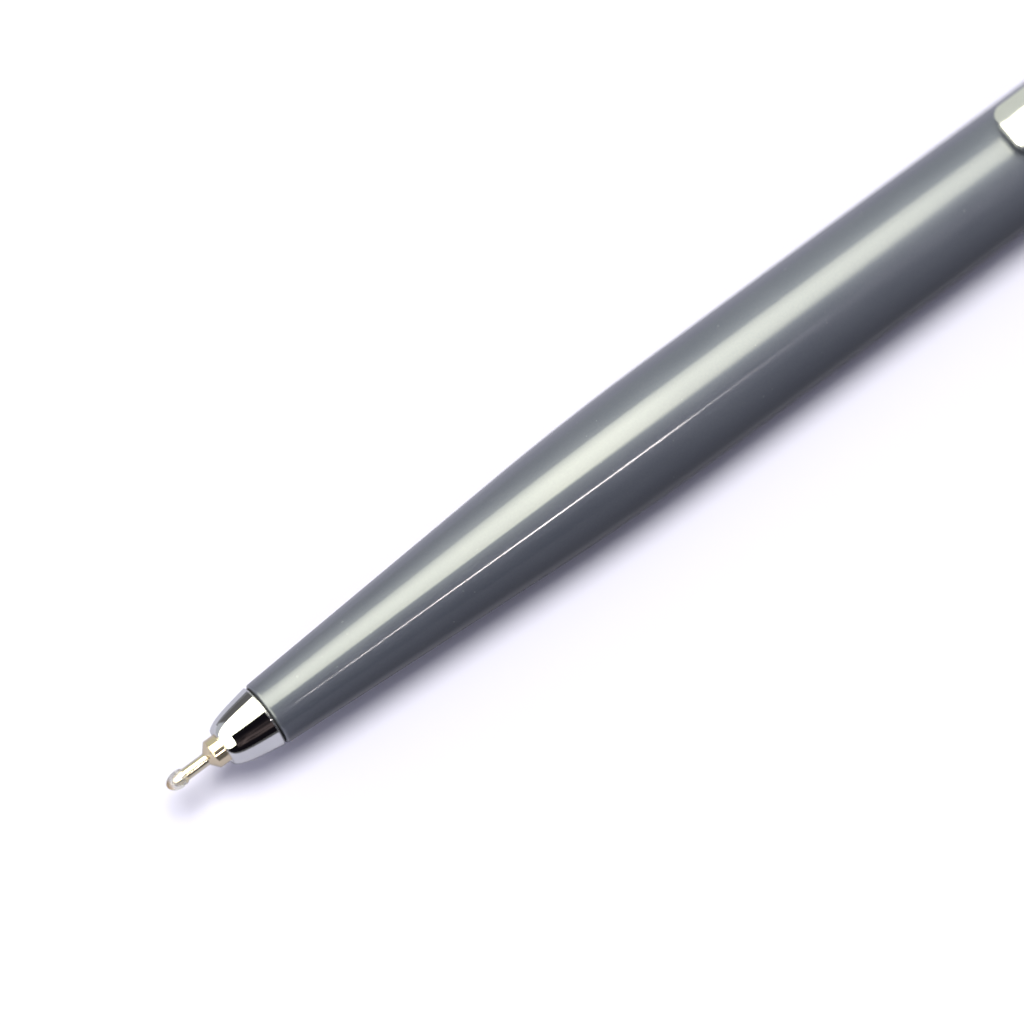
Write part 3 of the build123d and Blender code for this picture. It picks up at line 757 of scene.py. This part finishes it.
total = g.plus(total, g.scale((1.0, 0.97, 0.80), g.math("MULTIPLY", behind, 1.1)))
total = g.plus(total, (0.006, 0.005, 0.007))
lit = g.add("ShaderNodeBackground")
g.put(lit.inputs["Color"], total)
plain = g.add("ShaderNodeBackground")
plain.inputs["Color"].default_value = rgb(0.96, 0.96, 0.97)
path = g.add("ShaderNodeLightPath")
pick = g.add("ShaderNodeMixShader")
g.links.new(path.outputs["Is Camera Ray"], pick.inputs[0])
g.links.new(lit.outputs[0], pick.inputs[1])
g.links.new(plain.outputs[0], pick.inputs[2])
g.links.new(pick.outputs[0], w_out.inputs["Surface"])

# The room above is what the pen mirrors. The diffuse light comes from two soft suns that mirrors do not
# show: one from almost overhead that makes the shadow, one bluish fill from all around.
world.cycles_visibility.diffuse = False


def soft_sun(name, alpha_deg, along, spread_deg, strength, tint):
    data = bpy.data.lights.new(name, "SUN")
    data.angle = math.radians(spread_deg)
    data.energy = strength
    data.color = tint
    obj = bpy.data.objects.new(name, data)
    a = math.radians(alpha_deg)
    towards_sun = Vector((along, math.sin(a), math.cos(a))).normalized()
    obj.rotation_mode = "QUATERNION"
    obj.rotation_quaternion = towards_sun.to_track_quat("Z", "Y")
    obj.visible_glossy = False
    scene.collection.objects.link(obj)
    return obj


soft_sun("key_sun", 0.5, 0.0, 31.0, 2.85, (1.0, 0.995, 0.97))
soft_sun("fill_sun", 10.0, 0.0, 150.0, 1.25, (0.97, 0.97, 1.20))

scene.view_settings.view_transform = "Standard"
scene.view_settings.look = "None"
scene.view_settings.exposure = 0.0
scene.view_settings.gamma = 1.0

# ------------------------------------------------------------------ camera
PX_PER_MM = 12.2
CAM_DISTANCE = 0.900
towards = Vector((-0.156, -0.367, 0.917)).normalized()  # from the pen to the camera
roll = math.radians(36.37)
pen_axis = Vector((1, 0, 0))
flat = (pen_axis - towards * pen_axis.dot(towards)).normalized()
side = towards.cross(flat).normalized()
right = flat * math.cos(roll) - side * math.sin(roll)
up = flat * math.sin(roll) + side * math.cos(roll)
middle = Vector((at(36.365) * MM, 0, 0)) + side * (17.5 / PX_PER_MM * MM)
cam_data = bpy.data.cameras.new("camera")
cam = bpy.data.objects.new("camera", cam_data)
scene.collection.objects.link(cam)
cam_data.sensor_width = 36.0
cam_data.lens = 36.0 * PX_PER_MM * CAM_DISTANCE * 1000 / 1024
cam_data.clip_start, cam_data.clip_end = 0.05, 20.0
place = Matrix((
    (right.x, up.x, towards.x),
    (right.y, up.y, towards.y),
    (right.z, up.z, towards.z),
)).to_4x4()
cam.matrix_world = Matrix.Translation(middle + towards * CAM_DISTANCE) @ place
scene.camera = cam

focus = bpy.data.objects.new("focus_point", None)
focus.location = (at(18.0) * MM, 0, 0)
scene.collection.objects.link(focus)
cam_data.dof.use_dof = True
cam_data.dof.focus_object = focus
# the blur belongs to this viewpoint only; from anywhere else the lens is stopped down
cam_data.dof.aperture_fstop = 8.5
focus.rotation_euler = cam.matrix_world.to_euler()
blur = cam_data.dof.driver_add("aperture_fstop").driver
blur.type = "AVERAGE"
turned = blur.variables.new()
turned.name = "turned"
turned.type = "ROTATION_DIFF"
turned.targets[0].id = cam
turned.targets[1].id = focus
curve = cam_data.animation_data.drivers[0]
for mod in list(curve.modifiers):
    curve.modifiers.remove(mod)
for angle, stop in ((0.0, 8.5), (0.05, 8.5), (0.10, 90.0)):
    key = curve.keyframe_points.insert(angle, stop)
    key.interpolation = "LINEAR"
curve.extrapolation = "CONSTANT"

boxes = write_box("before_finish")
